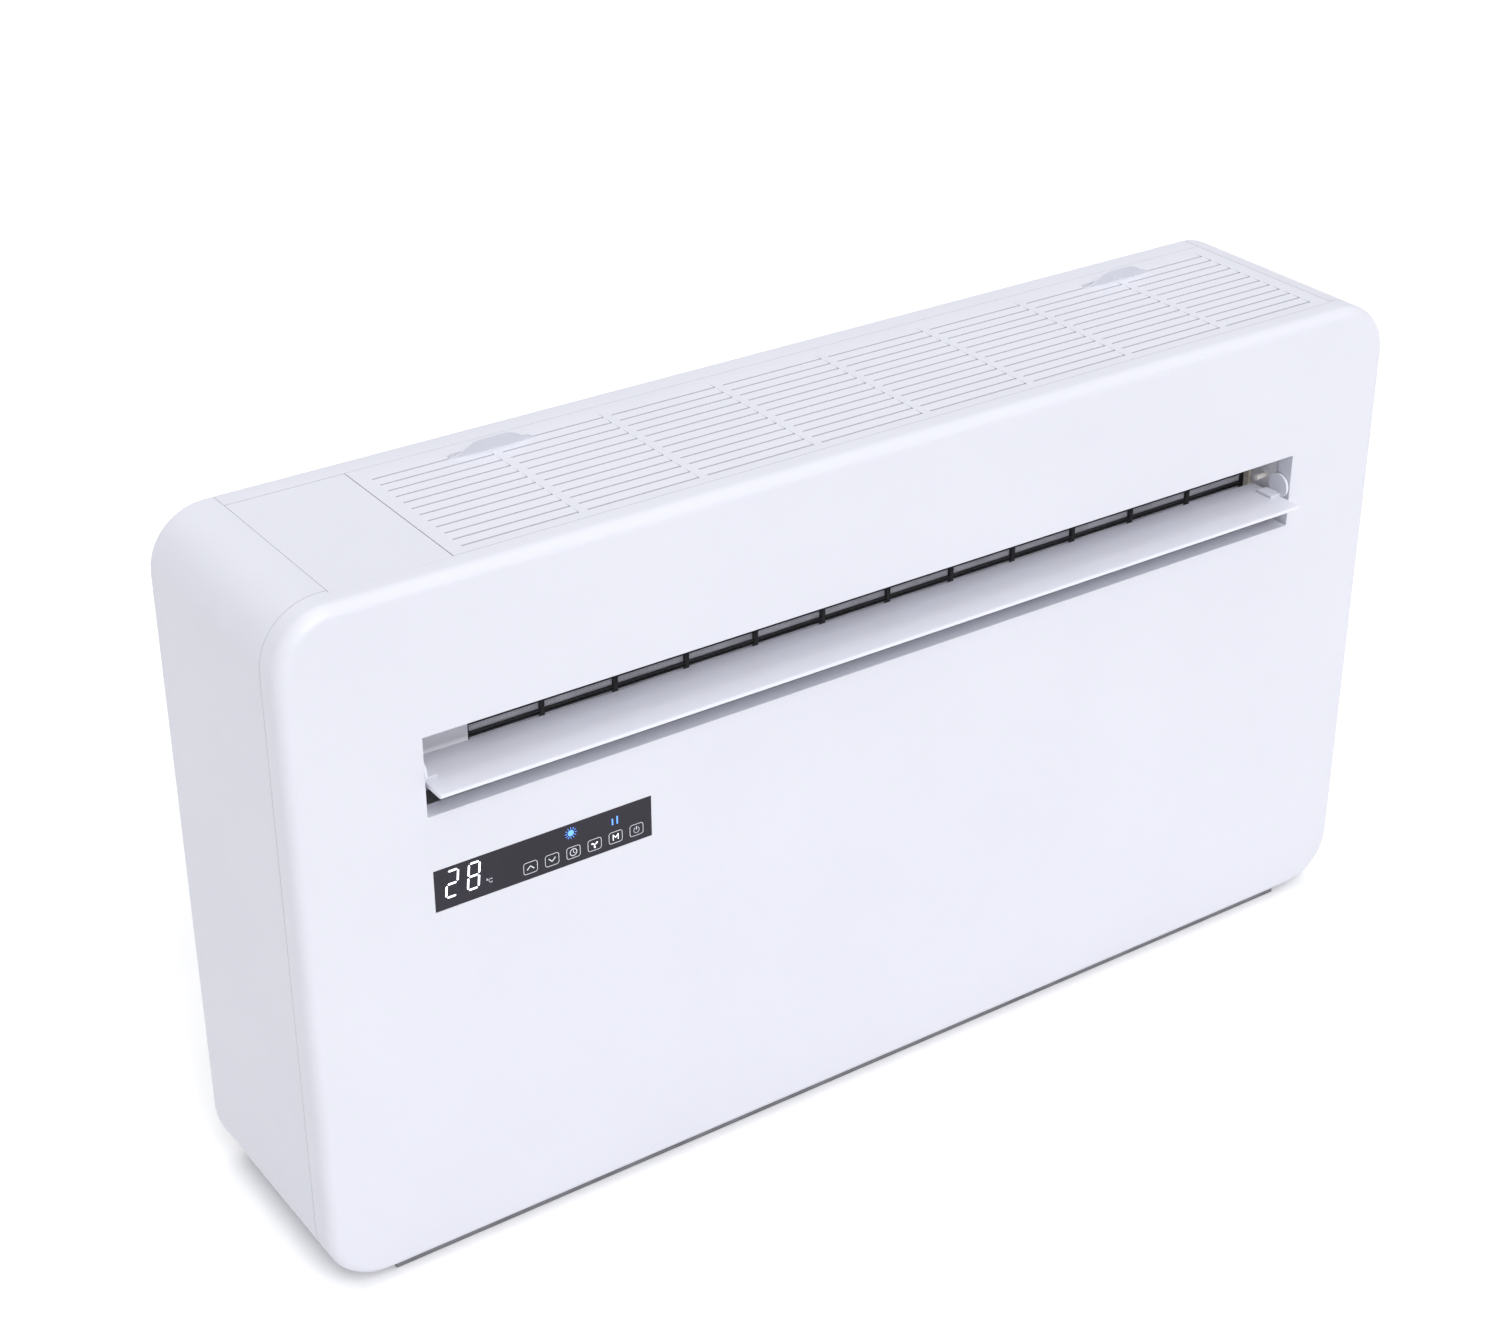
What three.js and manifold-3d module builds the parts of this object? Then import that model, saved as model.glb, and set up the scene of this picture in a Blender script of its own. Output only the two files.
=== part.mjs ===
// Wall-mounted air conditioner without outdoor unit, in millimetres, +Z up.
// X runs along the width and the front faces -Y. Heights are measured from the
// cabinet's lower edge; place() then raises each piece by BASE_HEIGHT, so that
// z = 0 is the underside of the base tray.
import * as THREE from 'three';
import { mergeVertices } from 'three/addons/utils/BufferGeometryUtils.js';
import Module from 'manifold-3d';

const wasm = await Module();
wasm.setup();

// Cabinet
const HALF_WIDTH = 500;
const HALF_DEPTH = 101.7;
const HEIGHT = 553.2;
const CORNER = 45;
const WALL = 3;
const BASE_HEIGHT = 8;
const FRONT = -HALF_DEPTH;
const BACK = HALF_DEPTH;
const SEAM_Y = -76.4;
const SEAM_GAP = 0.5;

// Top covers
const TOP_LEFT = -448.2;
const TOP_DIVIDE = -355.7;
const TOP_RIGHT = 455;
const TOP_FRONT = -78.9;
const TOP_BACK = 79.9;
const COVER_GAP = 0.4;
const GRILLE_THICK = 8;

// Grille slots
const SLOT_ROWS = 12;
const SLOT_COLUMNS = 8;
const ROW_PITCH = 11.65;
const FIRST_GAP = 59.9;
const COLUMN_PITCH = 99;
const COLUMN_FIRST = -347.5;
const RIB = 7;
const BLADE_RUN = 9;
const BLADE_DROP = 0.5;

// Finger grips: a thin raised tab with a hollow behind it
const GRIPS = [-247.5, 346.5];
const TAB_HALF = 36.5;
const TAB_TOP = 10;
const TAB_HEIGHT = 9.5;
const TAB_THICK = 1;
const HOLLOW_R = 7.5;
const HOLLOW_RISE = 1;
const HOLLOW_HALF = 36;
const SLOT_STOP = 34;

// Air outlet
const SLOT_LEFT = -399.3;
const SLOT_RIGHT = 404.7;
const SLOT_LOW = 375.1;
const SLOT_HIGH = 438.0;
const RETURN_BACK = -86.2;

// Flap
const PIVOT_Y = -90.6;
const PIVOT_Z = 407.7;
const FLAP_LEFT = -396.4;
const FLAP_RIGHT = 401.5;
const FLAP_FRONT = -118.0;
const FLAP_BACK = -61.3;
const FLAP_TOP = 399.7;
const FLAP_THICK = 3.1;

// Outlet guard
const GUARD_LEFT = -340.3;
const GUARD_RIGHT = 404.3;
const GUARD_Y = -50;
const GUARD_BAYS = 12;
const GUARD_BAR = 3.4;

// Blower
const BLOWER_Y = 20;
const BLOWER_Z = 430;
const BLOWER_R = 42;
const BLOWER_LEFT = -336;
const BLOWER_RIGHT = 400;

// Display
const DISPLAY_LEFT = -398.1;
const DISPLAY_RIGHT = -219.6;
const DISPLAY_LOW = 296.7;
const DISPLAY_HIGH = 330.6;

// Rear duct ports
const PORT_R = 76;
const PORT_Z = 165;
const EXHAUST_X = -190;
const INTAKE_X = 130;

const COLOURS = {
  white: 0xeef0f5,
  cream: 0xe8e2d2,
  black: 0x141416,
  glass: 0x2f2c36,
  zinc: 0xa9afb8,
  grey: 0x55585e,
  copper: 0xb87346,
  aluminium: 0xc3c7cc,
  green: 0x2c6b45,
  mesh: 0x8f98a3,
  rubber: 0x202022,
};

// ---------------------------------------------------------------- helpers

function solid(geometry) {
  const plain = geometry.clone();
  plain.deleteAttribute('normal');
  plain.deleteAttribute('uv');
  const merged = mergeVertices(plain, 1e-4);
  return new wasm.Manifold(new wasm.Mesh({
    numProp: 3,
    vertProperties: new Float32Array(merged.attributes.position.array),
    triVerts: new Uint32Array(merged.index.array),
  }));
}

function joined(list) {
  let total = list[0];
  for (const item of list.slice(1)) total = total.add(item);
  return total;
}

function cut(body, list) {
  let left = body;
  for (const item of list) left = left.subtract(item);
  return left;
}

function box(x0, x1, y0, y1, z0, z1) {
  const geometry = new THREE.BoxGeometry(x1 - x0, y1 - y0, z1 - z0);
  geometry.translate((x0 + x1) / 2, (y0 + y1) / 2, (z0 + z1) / 2);
  return solid(geometry);
}

// Cylinder along one axis. The centre is given by the two other coordinates,
// in the order of the axes.
function cylinder(axis, a, b, radius, from, to, segments = 32, radiusTo = radius) {
  const geometry = new THREE.CylinderGeometry(radiusTo, radius, to - from, segments);
  const middle = (from + to) / 2;
  if (axis === 'x') {
    geometry.rotateZ(-Math.PI / 2);
    geometry.translate(middle, a, b);
  } else if (axis === 'y') {
    geometry.translate(a, middle, b);
  } else {
    geometry.rotateX(Math.PI / 2);
    geometry.translate(a, b, middle);
  }
  return solid(geometry);
}

function ring(axis, a, b, outer, inner, from, to, segments = 32) {
  const bore = cylinder(axis, a, b, inner, from - 1, to + 1, segments);
  return cylinder(axis, a, b, outer, from, to, segments).subtract(bore);
}

function shapeOf(points) {
  return new THREE.Shape(points.map(([u, v]) => new THREE.Vector2(u, v)));
}

// Prism along X with its section given as [y, z] points.
function prismX(points, x0, x1) {
  const geometry = new THREE.ExtrudeGeometry(shapeOf(points), { depth: x1 - x0, bevelEnabled: false });
  const turn = new THREE.Matrix4().set(0, 0, 1, x0, 1, 0, 0, 0, 0, 1, 0, 0, 0, 0, 0, 1);
  return solid(geometry.applyMatrix4(turn));
}

// Prism along Y with its section given as [x, z] points.
function prismY(points, y0, y1) {
  const swapped = points.map(([x, z]) => [z, x]);
  const geometry = new THREE.ExtrudeGeometry(shapeOf(swapped), { depth: y1 - y0, bevelEnabled: false });
  const turn = new THREE.Matrix4().set(0, 1, 0, 0, 0, 0, 1, y0, 1, 0, 0, 0, 0, 0, 0, 1);
  return solid(geometry.applyMatrix4(turn));
}

function sphere(x, y, z, radius) {
  const geometry = new THREE.SphereGeometry(radius, 20, 12);
  geometry.translate(x, y, z);
  return solid(geometry);
}

function tube(points, radius, segments = 26, sides = 8) {
  const path = new THREE.CatmullRomCurve3(points.map((p) => new THREE.Vector3(...p)), false, 'centripetal');
  const section = new THREE.Shape();
  for (let i = 0; i < sides; i += 1) {
    const angle = (2 * Math.PI * i) / sides;
    const x = radius * Math.cos(angle);
    const y = radius * Math.sin(angle);
    if (i === 0) section.moveTo(x, y);
    else section.lineTo(x, y);
  }
  const options = { steps: segments, extrudePath: path, bevelEnabled: false };
  return solid(new THREE.ExtrudeGeometry(section, options));
}

// Closed body of rotation about Z, from a closed [radius, z] profile.
function lathe(profile, x, y, segments = 40) {
  const points = profile.map(([r, z]) => new THREE.Vector2(r, z));
  const geometry = new THREE.LatheGeometry(points, segments);
  geometry.rotateX(Math.PI / 2);
  geometry.translate(x, y, 0);
  return solid(geometry);
}

// Outline of the cabinet seen from the front, drawn in by an inset.
function outline(inset, steps) {
  const radius = Math.max(CORNER - inset, 2);
  const right = HALF_WIDTH - inset - radius;
  const low = inset + radius;
  const high = HEIGHT - inset - radius;
  const corners = [[right, low, -90], [right, high, 0], [-right, high, 90], [-right, low, 180]];
  const points = [];
  for (const [x, z, start] of corners) {
    for (let i = 0; i <= steps; i += 1) {
      const angle = THREE.MathUtils.degToRad(start + (90 * i) / steps);
      points.push([x + radius * Math.cos(angle), z + radius * Math.sin(angle)]);
    }
  }
  return points;
}

// Solid through cabinet outlines. Each ring is [y, inset], front ring first.
function cabinetLoft(rings, steps = 9) {
  const positions = [];
  const index = [];
  const loops = rings.map(([y, inset]) => outline(inset, steps).map(([x, z]) => {
    positions.push(x, y, z);
    return positions.length / 3 - 1;
  }));
  const count = loops[0].length;
  for (let k = 0; k + 1 < loops.length; k += 1) {
    for (let j = 0; j < count; j += 1) {
      const next = (j + 1) % count;
      index.push(loops[k][j], loops[k + 1][j], loops[k][next]);
      index.push(loops[k][next], loops[k + 1][j], loops[k + 1][next]);
    }
  }
  const first = positions.length / 3;
  positions.push(0, rings[0][0], HEIGHT / 2);
  positions.push(0, rings[rings.length - 1][0], HEIGHT / 2);
  const last = loops[loops.length - 1];
  for (let j = 0; j < count; j += 1) {
    const next = (j + 1) % count;
    index.push(first, loops[0][j], loops[0][next]);
    index.push(first + 1, last[next], last[j]);
  }
  const geometry = new THREE.BufferGeometry();
  geometry.setAttribute('position', new THREE.Float32BufferAttribute(positions, 3));
  geometry.setIndex(index);
  return solid(geometry);
}

const group = new THREE.Group();
group.name = 'wall_air_conditioner';

function place(name, body, colour, roughness = 0.5, metalness = 0) {
  const data = body.getMesh();
  const geometry = new THREE.BufferGeometry();
  geometry.setAttribute('position', new THREE.BufferAttribute(new Float32Array(data.vertProperties), 3));
  geometry.setIndex(new THREE.BufferAttribute(new Uint32Array(data.triVerts), 1));
  geometry.computeVertexNormals();
  const material = new THREE.MeshStandardMaterial({ color: COLOURS[colour], roughness, metalness });
  const mesh = new THREE.Mesh(geometry, material);
  mesh.name = name;
  mesh.position.z = BASE_HEIGHT;
  group.add(mesh);
}

// ---------------------------------------------------------------- cabinet

const FILLET_DEPTH = 12;
const FILLET_INSET = 9;
const frontRings = [];
for (let i = 0; i <= 6; i += 1) {
  const angle = (Math.PI / 2) * (i / 6);
  const y = FRONT + FILLET_DEPTH * (1 - Math.cos(angle));
  frontRings.push([y, FILLET_INSET * (1 - Math.sin(angle))]);
}
frontRings.push([SEAM_Y, 0]);
let frontPanel = cabinetLoft(frontRings);
frontPanel = frontPanel.subtract(cabinetLoft([[FRONT + WALL, 10], [-93, 3.6], [SEAM_Y + 1, WALL]]));
frontPanel = frontPanel.add(box(
  SLOT_LEFT - WALL, SLOT_RIGHT + WALL, FRONT + 1, RETURN_BACK, SLOT_LOW - WALL, SLOT_HIGH + WALL));
const pivotBosses = joined([
  cylinder('x', PIVOT_Y, PIVOT_Z, 7, SLOT_RIGHT + 2, SLOT_RIGHT + 8.5, 24),
  cylinder('x', PIVOT_Y, PIVOT_Z, 7, SLOT_LEFT - 5, SLOT_LEFT - 2, 24),
]);
frontPanel = frontPanel.add(pivotBosses);
frontPanel = cut(frontPanel, [
  box(SLOT_LEFT, SLOT_RIGHT, FRONT - 1, RETURN_BACK + 6, SLOT_LOW, SLOT_HIGH),
  cylinder('x', PIVOT_Y, PIVOT_Z, 3.3, SLOT_RIGHT - 1, SLOT_RIGHT + 9, 24),
  cylinder('x', PIVOT_Y, PIVOT_Z, 3.3, SLOT_LEFT - 6, SLOT_LEFT + 1, 24),
  box(DISPLAY_LEFT, DISPLAY_RIGHT, FRONT - 1, FRONT + WALL + 1, DISPLAY_LOW, DISPLAY_HIGH),
  box(TOP_LEFT, TOP_RIGHT, TOP_FRONT - 0.2, SEAM_Y + 1, HEIGHT - 14, HEIGHT + 1),
]);
place('front_panel', frontPanel, 'white');

const HOUSING_FRONT = SEAM_Y + SEAM_GAP;
const backRings = [];
for (let i = 0; i <= 4; i += 1) {
  const angle = (Math.PI / 2) * (i / 4);
  backRings.push([BACK - 6 * (1 - Math.sin(angle)), 6 * (1 - Math.cos(angle))]);
}
let housing = cabinetLoft([[HOUSING_FRONT, 0], ...backRings]);
housing = housing.subtract(cabinetLoft([[HOUSING_FRONT - 1, WALL], [94, WALL], [BACK - WALL, 7]]));
// Lip that the front panel slides over.
const lipBore = cabinetLoft([[-85, 5.9], [-71, 5.9]], 5);
const lip = cabinetLoft([[-84, 3.9], [-72, 3.9]], 5).subtract(lipBore);
const lipRoot = cabinetLoft([[HOUSING_FRONT, 2], [-72, 2]], 5).subtract(lipBore);
housing = joined([housing, lip, lipRoot]);
housing = cut(housing, [
  box(TOP_LEFT, TOP_RIGHT, -90, TOP_BACK, HEIGHT - 14, HEIGHT + 1),
]);
housing = housing.add(box(-440, 448, 71, BACK - WALL + 0.5, 536, 541.5));
housing = housing.add(box(TOP_LEFT - 3, TOP_LEFT, -70, 84, 541.9, 552));
housing = housing.add(box(TOP_LEFT - 1.5, TOP_LEFT + 8, -70, 84, 541.9, 545));
const SCREW_SPOTS = [[-462, 40], [462, 40], [-462, 505], [462, 505]];
for (const [x, z] of SCREW_SPOTS) {
  housing = housing.add(cylinder('y', x, z, 9, 84, BACK - 2, 12));
  housing = housing.subtract(cylinder('y', x, z, 5.2, BACK - 2.6, BACK + 1, 16));
  housing = housing.subtract(cylinder('y', x, z, 2.5, 86, BACK + 1, 10));
}
housing = cut(housing, [
  cylinder('y', EXHAUST_X, PORT_Z, PORT_R, 90, BACK + 1, 36),
  cylinder('y', INTAKE_X, PORT_Z, PORT_R, 90, BACK + 1, 36),
  cylinder('y', 430, 40, 8, 90, BACK + 1, 16),
  cylinder('y', 430, 86, 9, 90, BACK + 1, 16),
  box(-330, -270, 90, BACK + 1, 470, 482),
  box(270, 330, 90, BACK + 1, 470, 482),
  box(TOP_LEFT - 0.3, TOP_LEFT + 0.3, TOP_BACK - 1, BACK + 1, HEIGHT - 0.6, HEIGHT + 1),
  box(TOP_RIGHT - 0.3, TOP_RIGHT + 0.3, TOP_BACK - 1, BACK + 1, HEIGHT - 0.6, HEIGHT + 1),
]);
place('rear_housing', housing, 'white');

// Shallow pressed tray under the cabinet, set in from its edges. The unit stands on it.
const traySheet = 1.2;
const trayEnd = 445;
const trayFront = -91;
const trayBack = 84;
const trayBody = box(-trayEnd, trayEnd, trayFront, trayBack, -BASE_HEIGHT, -0.3);
const trayHollow = box(
  -trayEnd + traySheet, trayEnd - traySheet, trayFront + traySheet, trayBack - traySheet,
  -BASE_HEIGHT + traySheet, 1);
place('base_tray', trayBody.subtract(trayHollow), 'black', 0.6);

SCREW_SPOTS.forEach(([x, z], i) => {
  const head = cylinder('y', x, z, 4.8, BACK - 2.4, BACK - 0.3, 16);
  const shank = cylinder('y', x, z, 2.0, 87, BACK - 1, 8);
  const cross = joined([
    box(x - 2.6, x + 2.6, BACK - 1.4, BACK + 1, z - 0.5, z + 0.5),
    box(x - 0.5, x + 0.5, BACK - 1.4, BACK + 1, z - 2.6, z + 2.6),
  ]);
  place(`back_screw_${i + 1}`, head.add(shank).subtract(cross), 'zinc', 0.4, 1);
});

// ---------------------------------------------------------------- top covers

const COVER_FRONT = TOP_FRONT + 0.2;
const COVER_BACK = TOP_BACK - COVER_GAP;
const blankRight = TOP_DIVIDE - 0.3;
const blankLeft = TOP_LEFT + COVER_GAP;
place('blank_cover', joined([
  box(blankLeft, blankRight, COVER_FRONT, COVER_BACK, HEIGHT - 2.5, HEIGHT),
  box(blankLeft + 12, blankLeft + 14, COVER_FRONT + 6, COVER_BACK - 20, HEIGHT - 9, HEIGHT - 2),
  box(blankRight - 2, blankRight, COVER_FRONT, COVER_BACK - 14, HEIGHT - 9, HEIGHT - 2),
]), 'white');

// Each cut is a gap right through, with the bar behind it sloping gently down to it.
function slotCut(row, x0, x1) {
  const gap = ROW_PITCH - BLADE_RUN;
  const low = FIRST_GAP + gap / 2 - row * ROW_PITCH;
  const back = low + BLADE_RUN;
  const next = low - gap;
  const under = HEIGHT - GRILLE_THICK - 1;
  const points = [
    [back, HEIGHT + 0.01],
    [back, HEIGHT + 1],
    [next, HEIGHT + 1],
    [next, under],
    [low, under],
    [low, HEIGHT - BLADE_DROP],
  ];
  return prismX(points.reverse(), x0, x1);
}

// Stretches of a slot from x0 to x1. The rear row stops at each finger grip.
function slotSpans(row, x0, x1) {
  let spans = [[x0, x1]];
  if (row > 0) return spans;
  for (const centre of GRIPS) {
    const left = centre - SLOT_STOP;
    const right = centre + SLOT_STOP;
    spans = spans.flatMap(([a, b]) => (right <= a || left >= b ? [[a, b]] : [[a, left], [right, b]]));
  }
  return spans.filter(([a, b]) => b - a > 6);
}

const GRILLE_LEFT = TOP_DIVIDE + 0.3;
const GRILLE_RIGHT = TOP_RIGHT - COVER_GAP;
const GRILLE_LOW = HEIGHT - GRILLE_THICK;
let grille = box(GRILLE_LEFT, GRILLE_RIGHT, COVER_FRONT, COVER_BACK, GRILLE_LOW, HEIGHT);
grille = grille.subtract(box(
  GRILLE_LEFT + 2.2, GRILLE_RIGHT - 2.5, COVER_FRONT + 2.5, COVER_BACK - 2.5, GRILLE_LOW - 1, GRILLE_LOW + 2));
for (let row = 0; row < SLOT_ROWS; row += 1) {
  for (let column = 0; column < SLOT_COLUMNS; column += 1) {
    const x0 = COLUMN_FIRST + column * COLUMN_PITCH + RIB / 2;
    const x1 = COLUMN_FIRST + (column + 1) * COLUMN_PITCH - RIB / 2;
    for (const [a, b] of slotSpans(row, x0, x1)) grille = grille.subtract(slotCut(row, a, b));
  }
}

// The tabs stand on the crest in front of the first gap.
const TAB_BACK = FIRST_GAP - (ROW_PITCH - BLADE_RUN) / 2;

function gripTab(centre) {
  const steps = 8;
  const flank = [];
  for (let i = 0; i <= steps; i += 1) {
    const t = i / steps;
    const out = TAB_TOP + (TAB_HALF - TAB_TOP) * t;
    flank.push([out, HEIGHT + TAB_HEIGHT * 0.5 * (1 + Math.cos(Math.PI * t))]);
  }
  const right = flank.map(([out, z]) => [centre + out, z]);
  const left = flank.map(([out, z]) => [centre - out, z]).reverse();
  const root = [[centre + TAB_HALF, HEIGHT - 4], [centre - TAB_HALF, HEIGHT - 4]];
  return prismY([...left, ...right, ...root], TAB_BACK - TAB_THICK, TAB_BACK);
}

// A round-ended trough behind the tab, with a slit through its lowest part.
function gripHollow(centre) {
  const z = HEIGHT + HOLLOW_RISE;
  const reach = HOLLOW_HALF - HOLLOW_R;
  const trough = joined([
    cylinder('x', TAB_BACK, z, HOLLOW_R, centre - reach, centre + reach, 24),
    sphere(centre - reach, TAB_BACK, z, HOLLOW_R),
    sphere(centre + reach, TAB_BACK, z, HOLLOW_R),
  ]);
  const slit = box(centre - reach, centre + reach, TAB_BACK, TAB_BACK + 2.6, GRILLE_LOW - 1, HEIGHT);
  const behind = box(
    centre - HOLLOW_HALF - 1, centre + HOLLOW_HALF + 1, TAB_BACK, TAB_BACK + HOLLOW_R + 1,
    GRILLE_LOW - 1, HEIGHT + 1);
  return trough.add(slit).intersect(behind);
}
for (const centre of GRIPS) grille = grille.add(gripTab(centre)).subtract(gripHollow(centre));
place('intake_grille', grille, 'white');

function dustFilter(x0, x1) {
  const low = HEIGHT - GRILLE_THICK - 6.4;
  const high = HEIGHT - GRILLE_THICK - 0.4;
  const body = box(x0, x1, -70, 67, low, high);
  const holes = [];
  const across = 5;
  const along = 3;
  const stepX = (x1 - x0 - 12) / across;
  const stepY = (137 - 12) / along;
  for (let i = 0; i < across; i += 1) {
    for (let j = 0; j < along; j += 1) {
      const hx = x0 + 6 + i * stepX;
      const hy = -64 + j * stepY;
      holes.push(box(hx + 1.5, hx + stepX - 1.5, hy + 1.5, hy + stepY - 1.5, low + 2.6, high + 1));
      holes.push(box(hx + 1.5, hx + stepX - 1.5, hy + 1.5, hy + stepY - 1.5, low - 1, low + 1.8));
    }
  }
  return cut(body, holes);
}
place('dust_filter_left', dustFilter(-344, 46), 'mesh');
place('dust_filter_right', dustFilter(48, 438), 'mesh');

// ---------------------------------------------------------------- flap

function flapSection() {
  const low = FLAP_TOP - FLAP_THICK;
  const points = [];
  const nose = FLAP_THICK / 2;
  for (let i = 0; i <= 8; i += 1) {
    const angle = THREE.MathUtils.degToRad(90 + (180 * i) / 8);
    points.push([FLAP_FRONT + nose + nose * Math.cos(angle), low + nose + nose * Math.sin(angle)]);
  }
  for (let i = 0; i <= 4; i += 1) {
    const angle = THREE.MathUtils.degToRad(-90 + (180 * i) / 4);
    points.push([FLAP_BACK - nose + nose * Math.cos(angle), low + nose + nose * Math.sin(angle)]);
  }
  return points;
}
place('outlet_flap', prismX(flapSection(), FLAP_LEFT, FLAP_RIGHT), 'white');

const CLIP_LOW = FLAP_TOP + 0.05;
const clipRight = joined([
  cylinder('x', PIVOT_Y, PIVOT_Z, 10.4, FLAP_RIGHT + 0.3, SLOT_RIGHT - 0.5, 40),
  box(391, FLAP_RIGHT + 1.5, -94.5, -78.5, CLIP_LOW, CLIP_LOW + 2.4),
  cylinder('x', PIVOT_Y, PIVOT_Z, 2.8, FLAP_RIGHT + 1, SLOT_RIGHT + 7.5, 20),
]);
place('flap_clip_right', clipRight, 'cream');
const clipLeft = joined([
  cylinder('x', PIVOT_Y, PIVOT_Z, 10.4, SLOT_LEFT + 0.5, FLAP_LEFT - 0.3, 40),
  box(FLAP_LEFT - 1.5, -385.5, -94.5, -78.5, CLIP_LOW, CLIP_LOW + 2.4),
  cylinder('x', PIVOT_Y, PIVOT_Z, 2.8, SLOT_LEFT - 6.5, FLAP_LEFT - 1, 20),
]);
place('flap_clip_left', clipLeft, 'white');
place('flap_motor', joined([
  cylinder('x', PIVOT_Y + 4.5, PIVOT_Z, 11.5, SLOT_LEFT - 25, SLOT_LEFT - 7, 24),
  box(SLOT_LEFT - 9, SLOT_LEFT - 7, PIVOT_Y + 2, PIVOT_Y + 6, PIVOT_Z - 21, PIVOT_Z + 21),
  box(SLOT_LEFT - 23, SLOT_LEFT - 10, PIVOT_Y + 13, PIVOT_Y + 20, PIVOT_Z - 7, PIVOT_Z + 7),
]), 'zinc', 0.4, 1);
// The end of the swing: a pin above the rear half of the flap, and a second
// one below it, both through the right end plate.
place('flap_stop_upper', joined([
  cylinder('x', -72, 409.6, 2.3, 394.5, 410, 20),
  cylinder('x', -72, 409.6, 4, 406.9, 409, 20),
]), 'cream');
place('flap_stop_lower', joined([
  cylinder('x', -82, 379.6, 2.4, 402.4, 410, 20),
  cylinder('x', -82, 379.6, 4, 406.9, 409, 20),
]), 'cream');

// ---------------------------------------------------------------- outlet duct

function guardShape() {
  const depth = 3;
  const y1 = GUARD_Y + depth;
  const low = 372.7;
  const high = 441.7;
  const bars = [
    box(GUARD_LEFT, GUARD_RIGHT, GUARD_Y, y1, low, low + 3),
    box(GUARD_LEFT, GUARD_RIGHT, GUARD_Y, y1, high - 3, high),
  ];
  for (const z of [384.6, 393.6, 395.9, 403.7, 421]) {
    bars.push(box(GUARD_LEFT, GUARD_RIGHT, GUARD_Y + 0.3, y1 - 0.3, z - 0.6, z + 0.6));
  }
  const pitch = (GUARD_RIGHT - GUARD_LEFT - GUARD_BAR) / GUARD_BAYS;
  for (let i = 0; i <= GUARD_BAYS; i += 1) {
    const x = GUARD_LEFT + i * pitch;
    bars.push(box(x, x + GUARD_BAR, GUARD_Y, y1, low, high));
  }
  return joined(bars);
}
place('outlet_guard', guardShape(), 'black');
place('guard_mesh', box(
  GUARD_LEFT + 1, GUARD_RIGHT - 1, GUARD_Y + 3.3, GUARD_Y + 3.9, 373, 441.4), 'zinc', 0.5, 1);

// Floor and spiral back wall of the blower duct.
function scrollSection() {
  const inner = [[-85, 371.8], [-44, 371.8], [-14, 380.5]];
  for (let i = 0; i <= 14; i += 1) {
    const degrees = -97 + i * 12;
    const angle = THREE.MathUtils.degToRad(degrees);
    const radius = 49.5 - i * 0.2;
    inner.push([BLOWER_Y + radius * Math.cos(angle), BLOWER_Z + radius * Math.sin(angle)]);
  }
  const sheet = 1.4;
  const outer = inner.map(([y, z], i) => {
    const before = inner[Math.max(i - 1, 0)];
    const after = inner[Math.min(i + 1, inner.length - 1)];
    const along = Math.hypot(after[0] - before[0], after[1] - before[1]);
    const ny = (after[1] - before[1]) / along;
    const nz = -(after[0] - before[0]) / along;
    return [y + ny * sheet, z + nz * sheet];
  });
  return [...outer, ...inner.reverse()];
}
place('blower_scroll', prismX(scrollSection(), GUARD_LEFT + 0.2, GUARD_RIGHT - 0.1), 'zinc', 0.4, 1);
place('blower_tongue', prismX([
  [-85, 442.3], [-29, 442.3], [-26.5, 449.2], [-30, 449.2], [-32.5, 444.3], [-85, 444.3],
], GUARD_LEFT + 0.2, GUARD_RIGHT - 0.1), 'white');

let rightPlate = box(404.9, 406.4, -85.7, 84, 366, 476);
rightPlate = cut(rightPlate, [
  cylinder('x', -72, 409.6, 2.6, 400, 410, 20),
  cylinder('x', -82, 379.6, 2.7, 400, 410, 20),
  cylinder('x', BLOWER_Y, BLOWER_Z, 14.4, 400, 410, 32),
]);
place('duct_end_plate', rightPlate, 'zinc', 0.4, 1);
place('duct_seal_strip', box(402.6, 404.6, -56.5, -50.3, 372.9, 441.5), 'cream');

let leftBlock = box(-398.9, -341, -56, 82, 366, 476);
leftBlock = leftBlock.subtract(box(-400, -344, -53, 79, 369, 473));
leftBlock = leftBlock.add(box(-401, -399.5, -85.9, -53, 372.5, 441.5));
leftBlock = leftBlock.add(box(-401, -398, -56, -53, 372.5, 441.5));
leftBlock = leftBlock.subtract(cylinder('x', BLOWER_Y, BLOWER_Z, 6, -350, -335, 24));
place('duct_end_block', leftBlock, 'white');

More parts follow.
